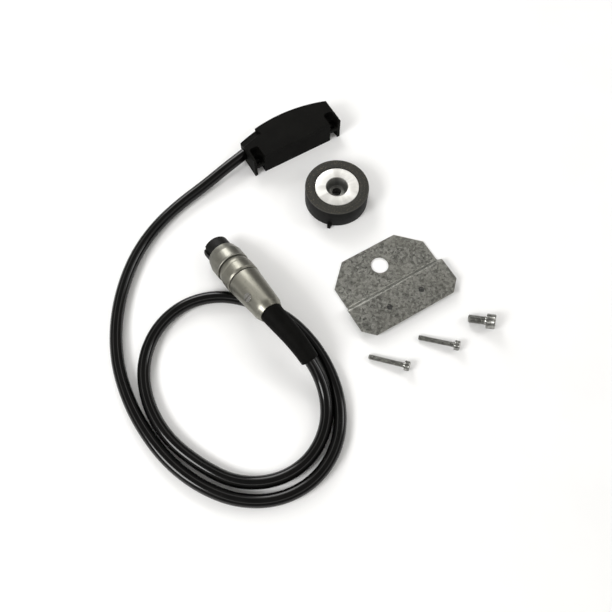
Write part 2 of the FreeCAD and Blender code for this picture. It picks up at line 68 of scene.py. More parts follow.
def addLamp(name, place, aim, size, power):
    light = bpy.data.lights.new(name, "AREA")
    light.shape, light.size, light.energy = "DISK", size, power
    lamp = bpy.data.objects.new(name, light)
    lamp.location = place
    lamp.rotation_euler = (Vector(aim) - Vector(place)).to_track_quat("-Z", "Y").to_euler()
    scene.collection.objects.link(lamp)


addCamera()
for lampName, lamp in lamps.items():
    addLamp(lampName, **lamp)
scene.view_settings.view_transform = "Standard"
print("camera and lamps placed")


# ---- node helpers
def addNode(tree, kind, inputs=None, **settings):
    made = tree.nodes.new(kind)
    for key, value in settings.items():
        setattr(made, key, value)
    for key, value in (inputs or {}).items():
        if isinstance(value, bpy.types.NodeSocket):
            tree.links.new(value, made.inputs[key])
        else:
            made.inputs[key].default_value = value
    return made


def mathNode(tree, operation, first, second=0.0, clamp=False):
    return addNode(tree, "ShaderNodeMath", {0: first, 1: second}, operation=operation, use_clamp=clamp).outputs[0]


def mapRange(tree, value, low, high, toLow=0.0, toHigh=1.0, smooth=False):
    made = addNode(tree, "ShaderNodeMapRange", {0: value, 1: low, 2: high, 3: toLow, 4: toHigh})
    made.interpolation_type = "SMOOTHSTEP" if smooth else "LINEAR"
    return made.outputs[0]


def mixColour(tree, factor, first, second):
    made = addNode(tree, "ShaderNodeMix", data_type="RGBA")
    for index, value in ((0, factor), (6, first), (7, second)):
        if isinstance(value, bpy.types.NodeSocket):
            tree.links.new(value, made.inputs[index])
        else:
            made.inputs[index].default_value = value
    return made.outputs[2]


def grey(level, warm=0.0):
    return (level * (1 + warm), level, level * (1 - warm), 1)


def newGroup(name, inputs, outputs):
    tree = bpy.data.node_groups.new(name, "ShaderNodeTree")
    for label, kind, value in inputs:
        socket = tree.interface.new_socket(label, in_out="INPUT", socket_type=kind)
        if value is not None:
            socket.default_value = value
    for label in outputs:
        tree.interface.new_socket(label, in_out="OUTPUT", socket_type="NodeSocketFloat")
    return tree, tree.nodes.new("NodeGroupInput"), tree.nodes.new("NodeGroupOutput")


# ---- room light: even, with a brighter band part way up
def makeRoom():
    world = bpy.data.worlds.new("room")
    world.use_nodes = True
    scene.world = world
    tree, soft = world.node_tree, room["soft"]
    background = tree.nodes["Background"]
    background.inputs["Color"].default_value = (*room["tint"], 1)
    upward = addNode(tree, "ShaderNodeSeparateXYZ",
                     {0: addNode(tree, "ShaderNodeTexCoord").outputs["Generated"]}).outputs[2]
    rise = mapRange(tree, upward, room["low"] - soft, room["low"] + soft)
    fall = mapRange(tree, upward, room["high"] - soft, room["high"] + soft, 1.0, 0.0)
    band = mathNode(tree, "MULTIPLY", mathNode(tree, "MULTIPLY", rise, fall), room["band"])
    tree.links.new(mathNode(tree, "ADD", band, room["strength"]), background.inputs["Strength"])


makeRoom()


# ---- shared effects
def makeFineGrain():
    tree, given, result = newGroup("fineGrain", [
        ("Coordinates", "NodeSocketVector", None), ("Scale", "NodeSocketFloat", 2500.0)], ["Grain", "Blotch"])
    fine = addNode(tree, "ShaderNodeTexNoise", {"Vector": given.outputs[0], "Scale": given.outputs[1],
                                                "Detail": 3.0, "Roughness": 0.65})
    wide = addNode(tree, "ShaderNodeTexNoise", {"Vector": given.outputs[0],
                                                "Scale": mathNode(tree, "MULTIPLY", given.outputs[1], 0.055),
                                                "Detail": 3.0, "Roughness": 0.55})
    tree.links.new(mapRange(tree, fine.outputs[0], 0.28, 0.72), result.inputs[0])
    tree.links.new(mapRange(tree, wide.outputs[0], 0.32, 0.68, smooth=True), result.inputs[1])
    return tree


def makeTurnedRings():
    tree, given, result = newGroup("turnedRings", [
        ("Coordinates", "NodeSocketVector", None), ("Scale", "NodeSocketFloat", 4000.0)], ["Rings", "PaintedSheenMask"])
    split = addNode(tree, "ShaderNodeSeparateXYZ", {0: given.outputs[0]})
    across = mathNode(tree, "POWER", split.outputs[0], 2.0)
    across = mathNode(tree, "ADD", across, mathNode(tree, "POWER", split.outputs[1], 2.0))
    radius = mathNode(tree, "SQRT", across)
    angle = mathNode(tree, "ARCTAN2", split.outputs[1], split.outputs[0])
    line = addNode(tree, "ShaderNodeCombineXYZ", {0: radius, 1: split.outputs[2],
                                                  2: mathNode(tree, "MULTIPLY", angle, 0.00006)})
    rings = addNode(tree, "ShaderNodeTexNoise", {"Vector": line.outputs[0], "Scale": given.outputs[1],
                                                 "Detail": 2.0, "Roughness": 0.6})
    # Second output: wide sectors round the axis, a painted sheen standing in for the reflection of turned metal
    turn = addNode(tree, "ShaderNodeCombineXYZ", {0: mathNode(tree, "SINE", angle),
                                                  1: mathNode(tree, "COSINE", angle),
                                                  2: mathNode(tree, "MULTIPLY", radius, 18.0)})
    paintedSheen = addNode(tree, "ShaderNodeTexNoise", {"Vector": turn.outputs[0], "Scale": 1.7, "Detail": 2.5,
                                                   "Roughness": 0.5})
    tree.links.new(mapRange(tree, rings.outputs[0], 0.3, 0.7), result.inputs[0])
    tree.links.new(mapRange(tree, paintedSheen.outputs[0], 0.34, 0.66, smooth=True), result.inputs[1])
    return tree


def makeSpeckle():
    tree, given, result = newGroup("speckle", [
        ("Coordinates", "NodeSocketVector", None), ("Scale", "NodeSocketFloat", 1500.0),
        ("Threshold", "NodeSocketFloat", 0.66)], ["Mask"])
    dots = addNode(tree, "ShaderNodeTexNoise", {"Vector": given.outputs[0], "Scale": given.outputs[1],
                                                "Detail": 1.0, "Roughness": 0.4})
    limit = mathNode(tree, "ADD", given.outputs[2], 0.06)
    tree.links.new(mapRange(tree, dots.outputs[0], given.outputs[2], limit), result.inputs[0])
    return tree


def makeBandMask():
    tree, given, result = newGroup("bandMask", [
        ("Value", "NodeSocketFloat", 0.0), ("Low", "NodeSocketFloat", 0.0), ("High", "NodeSocketFloat", 1.0),
        ("Softness", "NodeSocketFloat", 0.0001)], ["Mask"])
    value, low, high, soft = given.outputs[0], given.outputs[1], given.outputs[2], given.outputs[3]
    rise = mapRange(tree, value, mathNode(tree, "SUBTRACT", low, soft), mathNode(tree, "ADD", low, soft), smooth=True)
    fall = mapRange(tree, value, mathNode(tree, "SUBTRACT", high, soft), mathNode(tree, "ADD", high, soft),
                    1.0, 0.0, smooth=True)
    tree.links.new(mathNode(tree, "MULTIPLY", rise, fall), result.inputs[0])
    return tree


def makeSpangle():
    tree, given, result = newGroup("spangle", [
        ("Coordinates", "NodeSocketVector", None), ("Scale", "NodeSocketFloat", 1100.0)], ["Flakes", "Scratches"])
    warp = addNode(tree, "ShaderNodeTexNoise", {"Vector": given.outputs[0], "Scale": 900.0, "Detail": 1.0})
    shift = addNode(tree, "ShaderNodeVectorMath", {0: warp.outputs[1], "Scale": 0.0009}, operation="SCALE")
    moved = addNode(tree, "ShaderNodeVectorMath", {0: given.outputs[0], 1: shift.outputs[0]}, operation="ADD")
    cells = addNode(tree, "ShaderNodeTexVoronoi", {"Vector": moved.outputs[0], "Scale": given.outputs[1]})
    level = addNode(tree, "ShaderNodeSeparateColor", {0: cells.outputs["Color"]})
    fine = addNode(tree, "ShaderNodeTexNoise", {"Vector": given.outputs[0],
                                                "Scale": mathNode(tree, "MULTIPLY", given.outputs[1], 2.4),
                                                "Detail": 2.0, "Roughness": 0.7})
    both = mathNode(tree, "ADD", mathNode(tree, "MULTIPLY", level.outputs[0], 0.55),
                    mathNode(tree, "MULTIPLY", mapRange(tree, fine.outputs[0], 0.3, 0.7), 0.45))
    stretched = addNode(tree, "ShaderNodeMapping", {"Vector": given.outputs[0], "Scale": (60.0, 2600.0, 60.0)})
    lines = addNode(tree, "ShaderNodeTexNoise", {"Vector": stretched.outputs[0], "Scale": 1.0, "Detail": 3.0})
    tree.links.new(both, result.inputs[0])
    tree.links.new(mapRange(tree, lines.outputs[0], 0.35, 0.75), result.inputs[1])
    return tree


groups = {"fineGrain": makeFineGrain(), "turnedRings": makeTurnedRings(), "speckle": makeSpeckle(),
          "bandMask": makeBandMask(), "spangle": makeSpangle()}


class Finish:
    def __init__(self, name, frameMatrix=None, **sockets):
        self.material = bpy.data.materials.new(name)
        self.material.use_nodes = True
        self.tree = self.material.node_tree
        self.shader = self.tree.nodes["Principled BSDF"]
        for key, value in sockets.items():
            self.shader.inputs[key.replace("_", " ")].default_value = value
        self.place = addNode(self.tree, "ShaderNodeTexCoord").outputs["Object"]
        if frameMatrix is not None:
            centred = addNode(self.tree, "ShaderNodeMapping", {"Vector": self.place,
                              "Location": frameMatrix.translation, "Rotation": frameMatrix.to_euler()})
            centred.vector_type = "TEXTURE"
            self.place = centred.outputs[0]
        self.height = None

    def effect(self, group, output, **inputs):
        made = self.tree.nodes.new("ShaderNodeGroup")
        made.node_tree = groups[group]
        for key, value in inputs.items():
            if isinstance(value, bpy.types.NodeSocket):
                self.tree.links.new(value, made.inputs[key])
            else:
                made.inputs[key].default_value = value
        if "Coordinates" in made.inputs:
            self.tree.links.new(self.place, made.inputs["Coordinates"])
        return made.outputs[output]

    def axis(self, index):
        return addNode(self.tree, "ShaderNodeSeparateXYZ", {0: self.place}).outputs[index]

    def radius(self):
        flat = addNode(self.tree, "ShaderNodeVectorMath", {0: self.place, 1: (1.0, 1.0, 0.0)}, operation="MULTIPLY")
        return addNode(self.tree, "ShaderNodeVectorMath", {0: flat.outputs[0]}, operation="LENGTH").outputs["Value"]

    def mix(self, factor, first, second):
        return mixColour(self.tree, factor, first, second)

    def range(self, value, low, high):
        return mapRange(self.tree, value, 0.0, 1.0, low, high)

    def times(self, first, second):
        return mathNode(self.tree, "MULTIPLY", first, second)

    def plus(self, first, second):
        return mathNode(self.tree, "ADD", first, second)

    def colour(self, value):
        self.tree.links.new(value, self.shader.inputs["Base Color"])

    def roughness(self, value):
        self.tree.links.new(value, self.shader.inputs["Roughness"])

    def bump(self, value, depth, strength=1.0):
        made = addNode(self.tree, "ShaderNodeBump", {"Height": value, "Distance": depth, "Strength": strength})
        self.tree.links.new(made.outputs[0], self.shader.inputs["Normal"])


# ---- shape helpers
def turnedShape(profile, steps):
    bm = bmesh.new()
    verts = [bm.verts.new((r * mm, 0, z * mm)) for r, z in profile]
    edges = [bm.edges.new(pair) for pair in zip(verts, verts[1:])]
    if profile[0][0] > 0 and profile[-1][0] > 0:
        edges.append(bm.edges.new((verts[-1], verts[0])))
    bmesh.ops.spin(bm, geom=verts + edges, cent=(0, 0, 0), axis=(0, 0, 1), dvec=(0, 0, 0), angle=2 * math.pi,
                   steps=steps, use_merge=True, use_duplicate=False)
    bmesh.ops.remove_doubles(bm, verts=bm.verts, dist=1e-6)
    return bm


def bevelSharp(bm, width, segments=2, limit=28):
    bmesh.ops.recalc_face_normals(bm, faces=bm.faces)
    sharp = [e for e in bm.edges if len(e.link_faces) == 2 and e.calc_face_angle() > math.radians(limit)]
    bmesh.ops.bevel(bm, geom=sharp, offset=width * mm, segments=segments, profile=0.5, affect="EDGES", material=-1)


def stepsBetween(first, last, count):
    return [(first[0] + (last[0] - first[0]) * i / count, first[1] + (last[1] - first[1]) * i / count)
            for i in range(count)]


def axesMatrix(x, y, z, origin):
    matrix = Matrix((x, y, z)).transposed().to_4x4()
    matrix.translation = origin
    return matrix


def finishPiece(name, bm, finish, body, slot, *nodes, smooth=32):
    bmesh.ops.remove_doubles(bm, verts=bm.verts, dist=1e-6)
    bmesh.ops.recalc_face_normals(bm, faces=bm.faces)
    mesh = bpy.data.meshes.new(name)
    bm.to_mesh(mesh)
    bm.free()
    for extra in ("custom_normal", "sharp_edge", "sharp_face"):
        if extra in mesh.attributes:
            mesh.attributes.remove(mesh.attributes[extra])
    piece = bpy.data.objects.new(name, mesh)
    scene.collection.objects.link(piece)
    mesh.shade_smooth()
    if smooth:
        mesh.set_sharp_from_angle(angle=math.radians(smooth))
    mesh.materials.append(finish.material)
    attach(piece, body)
    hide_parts(*nodes)
    print("made", name, len(mesh.polygons), "faces")
    return piece


def softened(name, node, width, finish, body, slot, flat=0.5):
    bm = bmesh.new()
    bm.from_mesh(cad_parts[node].data)
    bmesh.ops.remove_doubles(bm, verts=bm.verts, dist=2e-6)
    bmesh.ops.dissolve_limit(bm, angle_limit=math.radians(flat), verts=bm.verts, edges=bm.edges)
    piece = finishPiece(name, bm, finish, body, slot, node, smooth=0)
    rounding = piece.modifiers.new("edgeRound", "BEVEL")
    rounding.width, rounding.segments = width * mm, 2
    rounding.limit_method, rounding.angle_limit = "ANGLE", math.radians(30)
    rounding.harden_normals = True
    return piece


def setFinish(node, finish):
    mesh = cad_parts[node].data
    mesh.materials.clear()
    mesh.materials.append(finish.material)


# ---- floor
def makeFloor():
    bm = bmesh.new()
    bmesh.ops.create_grid(bm, x_segments=4, y_segments=4, size=2.5)
    mesh = bpy.data.meshes.new("floor")
    bm.to_mesh(mesh)
    bm.free()
    floor = bpy.data.objects.new("floor", mesh)
    scene.collection.objects.link(floor)
    paper = Finish("paperFloor", Roughness=0.8, Specular_IOR_Level=0.1)
    grain = paper.effect("fineGrain", "Blotch", Scale=400.0)
    paper.colour(paper.mix(grain, (0.93, 0.93, 0.93, 1), (0.95, 0.95, 0.95, 1)))
    mesh.materials.append(paper.material)


makeFloor()


# ---- connector frame: z runs back along the axis, y is its upward side
connector = {"tip": (-81.0, 3.28, 7.59), "heading": -84.4, "tilt": 13.6}


def connectorMatrix():
    heading, tilt = math.radians(connector["heading"]), math.radians(connector["tilt"])
    back = Vector((math.cos(tilt) * math.cos(heading), math.cos(tilt) * math.sin(heading), math.sin(tilt)))
    upward = (Vector((0, 0, 1)) - back * back.z).normalized()
    return axesMatrix(upward.cross(back), upward, back, Vector(connector["tip"]) * mm)


alongConnector = connectorMatrix()


# ---- cable: one spline through the route, from inside the head to inside the back shell
cable = {
    "diameter": 7.0, "length": 769.0, "exit": (-17.004, 57.246, 7.6),
    "route": [
        (-17.004, 57.246, 7.6), (-41.947, 51.945, 7.6), (-66.5, 46.9, 4.4), (-87.0, 42.8, 3.55), (-106.0, 35.8, 3.55),
        (-123.4, 24.8, 3.55), (-138.7, 9.3, 3.55), (-151.3, -9.5, 3.55), (-159.8, -30.5, 3.55),
        (-163.2, -52.5, 3.55), (-162.6, -74.0, 3.55), (-158.4, -94.8, 3.55), (-149.6, -113.7, 3.55),
        (-136.3, -129.6, 3.55), (-118.0, -139.6, 3.55), (-97.3, -140.4, 3.55), (-78.7, -131.1, 3.55),
        (-66.5, -114.0, 3.55), (-61.1, -94.0, 3.55), (-61.2, -73.5, 3.55), (-66.2, -54.4, 3.55),
        (-77.2, -37.8, 3.55), (-93.3, -23.0, 3.55), (-113.5, -17.8, 3.55), (-133.4, -23.8, 3.55),
        (-148.3, -38.8, 3.55), (-155.2, -59.6, 3.55), (-154.2, -82.5, 3.55), (-144.7, -104.8, 3.55),
        (-132.7, -121.6, 3.55), (-113.9, -131.1, 3.55), (-93.5, -129.9, 3.55), (-76.6, -117.8, 3.8),
        (-68.2, -98.4, 7.4), (-70.2, -77.0, 17.4), (-75.271, -55.146, 21.793), (-77.282, -34.639, 16.808),
    ],
}


def cableFinish():
    jacket = Finish("cableJacket", Specular_IOR_Level=0.04, Coat_Weight=0.75, Coat_Roughness=0.13, Coat_IOR=1.4)
    blotch = jacket.effect("fineGrain", "Blotch", Scale=2200.0)
    grain = jacket.effect("fineGrain", "Grain", Scale=5200.0)
    dust = jacket.effect("speckle", "Mask", Scale=900.0, Threshold=0.73)
    base = jacket.mix(blotch, (0.0008, 0.0008, 0.0007, 1), (0.0020, 0.0019, 0.0018, 1))
    jacket.colour(jacket.mix(jacket.times(dust, 0.25), base, (0.05, 0.048, 0.044, 1)))
    jacket.roughness(jacket.plus(jacket.range(blotch, 0.30, 0.40), jacket.times(grain, 0.05)))
    jacket.bump(grain, 0.00002, 0.5)
    return jacket


def splineCurve(name, bevel):
    curve = bpy.data.curves.new(name, "CURVE")
    curve.dimensions = "3D"
    spline = curve.splines.new("NURBS")
    spline.points.add(len(cable["route"]) - 1)
    for point, place in zip(spline.points, cable["route"]):
        point.co = (*(Vector(place) * mm), 1)
    spline.order_u = 3
    spline.use_endpoint_u = True
    spline.resolution_u = 12
    curve.bevel_depth = bevel * mm
    curve.bevel_resolution = 7
    curve.use_fill_caps = bevel > 0
    made = bpy.data.objects.new(name, curve)
    scene.collection.objects.link(made)
    return made


def makeCable():
    cord = splineCurve("sensorCable", cable["diameter"] / 2)
    cord.data.materials.append(cableFinish().material)
    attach(cord, "sensor_and_cable")
    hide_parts("cable")
    return cord


def cableLine():
    line = splineCurve("cableLine", 0)
    bpy.context.view_layer.update()
    mesh = bpy.data.meshes.new_from_object(line)
    points = [v.co.copy() for v in mesh.vertices]
    bpy.data.objects.remove(line)
    bpy.data.meshes.remove(mesh)
    return points


cord = makeCable()
print("cable laid")


# ---- bend relief boot: rings along the last part of the cable's line
boot = {"shellEnd": 60.45, "length": 32.0, "rootRadius": 6.35, "tipRadius": 5.1, "hole": 3.6,
        "rings": 22, "steps": 56}


def makeBoot():
    points = cableLine()
    points.reverse()
    travelled = [0.0]
    for a, b in zip(points, points[1:]):
        travelled.append(travelled[-1] + (b - a).length)
    root = alongConnector @ Vector((0, 0, boot["shellEnd"] * mm))
    back = alongConnector.to_3x3() @ Vector((0, 0, 1))

    def placeAt(distance):
        for i in range(len(points) - 1):
            if travelled[i + 1] >= distance:
                share = (distance - travelled[i]) / (travelled[i + 1] - travelled[i])
                return points[i].lerp(points[i + 1], share)
        return points[-1]

    start = min(range(len(points)), key=lambda i: abs((points[i] - root).dot(back)) + (points[i] - root).length * 0.3)
    begin = travelled[start] - (points[start] - root).dot(back)
    drift = root - placeAt(begin)
    bm = bmesh.new()
    loops = []

    def addRing(distance, radius, turn=1.0):
        middle = placeAt(begin + distance * mm)
        way = (placeAt(begin + distance * mm + 0.0015) - placeAt(begin + distance * mm - 0.0015)).normalized()
        fade = max(0.0, 1 - distance / 14) ** 2
        middle = middle + drift * fade
        way = (way * (1 - fade) + back * fade).normalized()
        x = Vector((0, 0, 1)).cross(way).normalized()
        matrix = axesMatrix(x, way.cross(x), way, middle)
        ring = bmesh.ops.create_circle(bm, cap_ends=False, segments=boot["steps"], radius=radius * mm, matrix=matrix)
        loops.append([e for e in bm.edges if e.verts[0] in ring["verts"] and e.verts[1] in ring["verts"]])

    length, rootR, tipR = boot["length"], boot["rootRadius"], boot["tipRadius"]
    addRing(0.0, boot["hole"])
    addRing(0.0, rootR - 0.35)
    addRing(0.12, rootR - 0.1)
    addRing(0.4, rootR)
    for i in range(1, boot["rings"]):
        share = i / boot["rings"]
        addRing(0.4 + (length - 0.9) * share, rootR + (tipR - rootR) * share)
    addRing(length - 0.35, tipR)
    addRing(length - 0.1, tipR - 0.12)
    addRing(length, tipR - 0.4)
    addRing(length, boot["hole"])
    for first, second in zip(loops, loops[1:] + loops[:1]):
        bmesh.ops.bridge_loops(bm, edges=first + second)
    rubber = Finish("bootRubber", Specular_IOR_Level=0.06)
    grain = rubber.effect("fineGrain", "Grain", Scale=4200.0)
    blotch = rubber.effect("fineGrain", "Blotch", Scale=2400.0)
    rubber.colour(rubber.mix(blotch, (0.0022, 0.0021, 0.0018, 1), (0.0038, 0.0037, 0.0032, 1)))
    rubber.roughness(rubber.range(grain, 0.52, 0.68))
    rubber.bump(grain, 0.00003, 0.6)
    return finishPiece("bendBoot", bm, rubber, "sensor_and_cable", "boot_rubber", "cable_boot", smooth=50)


bootPiece = makeBoot()


# ---- metal of the connector
def nickelFinish(name, base=(0.27, 0.263, 0.225), rough=(0.34, 0.44), ringScale=3500.0, ringDepth=0.000004):
    metal = Finish(name, alongConnector, Metallic=1.0)
    rings = metal.effect("turnedRings", "Rings", Scale=ringScale)
    paintedSheen = metal.effect("turnedRings", "PaintedSheenMask", Scale=ringScale)
    grain = metal.effect("fineGrain", "Grain", Scale=3800.0)
    dull = metal.effect("speckle", "Mask", Scale=700.0, Threshold=0.64)
    # Painted sheen: the sectors round the axis switch between a darker and a lighter copy of the metal, standing in
    # for its reflection
    dark = tuple(v * 0.72 for v in base)
    tone = metal.mix(paintedSheen, (*dark, 1), (*base, 1))
    tone = metal.mix(metal.times(rings, 0.35), tone, (*(min(1, v * 1.2) for v in base), 1))
    metal.colour(metal.mix(metal.times(dull, 0.2), tone, (*(v * 0.45 for v in base), 1)))
    metal.roughness(metal.plus(metal.range(rings, *rough), metal.times(grain, 0.08)))
    metal.bump(metal.plus(rings, metal.times(grain, 0.35)), ringDepth)
    return metal


satinNickel = nickelFinish("satinNickel")
knurlNickel = nickelFinish("knurlNickel", base=(0.28, 0.275, 0.24), rough=(0.32, 0.42))


def knurl(bm, low, high, rowPitch, steps, depth):
    for vert in bm.verts:
        radius, z = vert.co.xy.length, vert.co.z / mm
        if low - 1e-4 <= z <= high + 1e-4 and radius > 8.7 * mm:
            column = round(math.atan2(vert.co.y, vert.co.x) * steps / (2 * math.pi))
            row = round((z - low) / rowPitch)
            if column % 2 or row % 2:
                share = 1 - depth * mm / radius
                vert.co.x *= share
                vert.co.y *= share


couplingRing = {"front": 8.05, "noseEnd": 13.05, "end": 20.4, "noseR": 8.8, "fullR": 10.1, "boreR": 8.5,
                "lipR": 7.95, "lipFront": 15.9, "steps": 144, "row": 0.42, "depth": 0.17}


def makeCouplingRing():
    c = couplingRing
    coneRows, fullRows = 10, 15
    knurlLow = c["noseEnd"] - coneRows * c["row"]
    slope = (c["fullR"] - c["noseR"]) / (c["noseEnd"] - c["front"])
    coneR = c["noseR"] + slope * (knurlLow - c["front"])
    knurlHigh = c["noseEnd"] + fullRows * c["row"]
    profile = [(c["boreR"], c["front"] + 0.3), (c["boreR"] + 0.1, c["front"] + 0.05), (c["noseR"] - 0.12, c["front"]),
               (c["noseR"] - 0.02, c["front"] + 0.08), (coneR - 0.02, knurlLow - 0.12)]
    profile += stepsBetween((coneR, knurlLow), (c["fullR"], c["noseEnd"]), coneRows)
    profile += stepsBetween((c["fullR"], c["noseEnd"]), (c["fullR"], knurlHigh), fullRows)
    profile += [(c["fullR"], knurlHigh), (c["fullR"] - 0.03, knurlHigh + 0.12), (c["fullR"] - 0.05, c["end"] - 0.35),
                (c["fullR"] - 0.35, c["end"] - 0.03), (c["fullR"] - 0.6, c["end"]), (c["lipR"] + 0.1, c["end"]),
                (c["lipR"], c["end"] - 0.1), (c["lipR"], c["lipFront"]), (c["boreR"], c["lipFront"])]
    threadRows = 40
    profile += stepsBetween((c["boreR"], c["lipFront"] - 0.3), (c["boreR"], c["front"] + 0.5), threadRows)
    bm = turnedShape(profile, c["steps"])
    knurl(bm, knurlLow, knurlHigh, c["row"], c["steps"], c["depth"])
    for vert in bm.verts:                                   # the thread in the bore, 1 mm pitch
        z, radius = vert.co.z / mm, vert.co.xy.length
        if c["front"] + 0.5 < z < c["lipFront"] - 0.3 and radius < (c["boreR"] + 0.05) * mm:
            phase = (z - math.atan2(vert.co.y, vert.co.x) / (2 * math.pi)) % 1.0
            share = 1 + 0.22 * mm * (1 - abs(2 * phase - 1)) / radius
            vert.co.x *= share
            vert.co.y *= share
    bm.transform(alongConnector)
    return finishPiece("couplingRing", bm, knurlNickel, "coupling_ring", "satin_nickel", "coupling_ring", smooth=0)


clampBand = {"front": 20.95, "noseR": 9.4, "fullAt": 25.75, "fullR": 10.15, "rimAt": 31.0, "rimR": 9.95,
             "end": 32.3, "boreR": 7.9, "steps": 144, "row": 0.42, "depth": 0.17}


def makeClampSleeve():
    c = clampBand
    rows = 14
    knurlHigh = c["rimAt"] - 0.15
    knurlLow = knurlHigh - rows * c["row"]
    slope = (c["fullR"] - c["noseR"]) / (c["fullAt"] - c["front"])

    def outer(z):
        return min(c["fullR"], c["noseR"] + slope * (z - c["front"]))

    profile = [(c["boreR"], c["front"] + 0.1), (c["boreR"] + 0.1, c["front"]), (c["noseR"] - 0.15, c["front"]),
               (c["noseR"], c["front"] + 0.12), (outer(knurlLow) - 0.02, knurlLow - 0.14)]
    profile += [(outer(knurlLow + i * c["row"]), knurlLow + i * c["row"]) for i in range(rows + 1)]
    profile += [(c["fullR"] - 0.02, c["rimAt"] - 0.03), (c["rimR"], c["rimAt"] + 0.02),
                (c["rimR"], c["end"] - 0.25), (c["rimR"] - 0.2, c["end"] - 0.02), (c["rimR"] - 0.4, c["end"]),
                (c["boreR"], c["end"])]
    bm = turnedShape(profile, c["steps"])
    knurl(bm, knurlLow, knurlHigh, c["row"], c["steps"], c["depth"])
    bm.transform(alongConnector)
    return finishPiece("clampSleeve", bm, satinNickel, "sensor_and_cable", "satin_nickel", "clamp_sleeve", smooth=0)


couplingPiece = makeCouplingRing()
clampPiece = makeClampSleeve()
shellNickel = nickelFinish("shellNickel", rough=(0.3, 0.38), ringDepth=0.000001)
shellPiece = softened("backShell", "back_shell", 0.22, shellNickel, "sensor_and_cable", "satin_nickel")


def polishedFinish():
    polish = Finish("polishedNickel", alongConnector, Metallic=1.0)
    grain = polish.effect("fineGrain", "Blotch", Scale=9000.0)
    polish.colour(polish.mix(grain, (0.80, 0.79, 0.76, 1), (0.88, 0.87, 0.84, 1)))
    polish.roughness(polish.range(grain, 0.05, 0.11))
    polish.bump(grain, 0.000002)
    return polish


clampScrewPiece = softened("clampScrew", "clamp_screw", 0.16, polishedFinish(), "sensor_and_cable", "bright_nickel")


def insertFinish():
    moulded = Finish("insertPlastic", alongConnector, Specular_IOR_Level=0.12)
    grain = moulded.effect("fineGrain", "Grain", Scale=3600.0)
    blotch = moulded.effect("fineGrain", "Blotch", Scale=3000.0)
    moulded.colour(moulded.mix(blotch, (0.0060, 0.0058, 0.0054, 1), (0.0110, 0.0108, 0.0100, 1)))
    moulded.roughness(moulded.range(grain, 0.42, 0.58))
    moulded.bump(grain, 0.000025, 0.5)
    return moulded


insertPiece = softened("contactInsert", "contact_insert", 0.18, insertFinish(), "sensor_and_cable", "insert_plastic")
print("connector made")


# ---- magnet wheel
magnet = {"outer": 19.3, "inner": 13.25, "height": 13.5, "rim": 0.35, "steps": 192,
          "lugAngle": 226.5, "lugRoot": 3.4, "lugTip": 1.8, "lugReach": 21.8, "lugHeight": 2.4}


def magnetFinish():
    ferrite = Finish("magnetBlack", Specular_IOR_Level=0.12)
    height, radius = ferrite.axis(2), ferrite.radius()
    top = ferrite.effect("bandMask", "Mask", Value=height, Low=magnet["height"] * mm - 0.00005,
                         High=0.02, Softness=0.00006)
    # Painted highlight: a lighter band along the outer edge of the top face, where the chamfer catches the light
    rim = ferrite.effect("bandMask", "Mask", Value=radius, Low=0.01885, High=0.0193, Softness=0.00012)
    rim = ferrite.times(rim, ferrite.effect("bandMask", "Mask", Value=height, Low=0.013, High=0.02, Softness=0.0002))
    grain = ferrite.effect("fineGrain", "Grain", Scale=2600.0)
    blotch = ferrite.effect("fineGrain", "Blotch", Scale=5200.0)
    rings = ferrite.effect("turnedRings", "Rings", Scale=2600.0)
    fleck = ferrite.effect("speckle", "Mask", Scale=1500.0, Threshold=0.62)
    # Painted shade: the sides get a far darker copy of the ferrite than the top face
    side = ferrite.mix(blotch, (0.0030, 0.0029, 0.0027, 1), (0.0062, 0.0060, 0.0054, 1))
    face = ferrite.mix(rings, (0.026, 0.026, 0.0235, 1), (0.046, 0.045, 0.040, 1))
    face = ferrite.mix(ferrite.times(fleck, 0.45), face, (0.16, 0.13, 0.085, 1))
    tone = ferrite.mix(top, side, face)
    # painted highlight on the top outer edge
    tone = ferrite.mix(ferrite.times(rim, 0.55), tone, (0.10, 0.098, 0.09, 1))
    ferrite.colour(tone)
    ferrite.roughness(ferrite.range(grain, 0.48, 0.66))
    ferrite.bump(ferrite.plus(grain, rings), 0.00002, 0.6)
    return ferrite


def makeMagnetRing():
    m = magnet
    bm = turnedShape([(m["inner"], 0), (m["outer"], 0), (m["outer"], m["height"]), (m["inner"], m["height"])],
                     m["steps"])
    bevelSharp(bm, m["rim"] * 1.25, 2)
    lug = bmesh.ops.create_cube(bm, size=1.0)["verts"]
    root, reach = m["outer"] - 1.0, m["lugReach"]
    for vert in lug:
        far = vert.co.x > 0
        width = m["lugTip"] if far else m["lugRoot"]
        vert.co = Vector((reach if far else root, width * (1 if vert.co.y > 0 else -1) / 2,
                          m["lugHeight"] if vert.co.z > 0 else 0.02)) * mm
    edges = [e for e in bm.edges if e.verts[0] in lug and e.verts[1] in lug]
    made = bmesh.ops.bevel(bm, geom=edges, offset=0.2 * mm, segments=2, profile=0.5, affect="EDGES", material=-1)
    parts = list({v for face in made["faces"] for v in face.verts} | {v for v in lug if v.is_valid})
    turn = Matrix.Rotation(math.radians(m["lugAngle"]), 4, "Z")
    bmesh.ops.transform(bm, matrix=turn, verts=parts)
    return finishPiece("magnetRing", bm, magnetFinish(), "magnet_wheel", "magnet_black", "magnet_ring")


hub = {"outer": 13.2, "inner": 6.68, "height": 13.5, "rim": 0.35, "steps": 160}


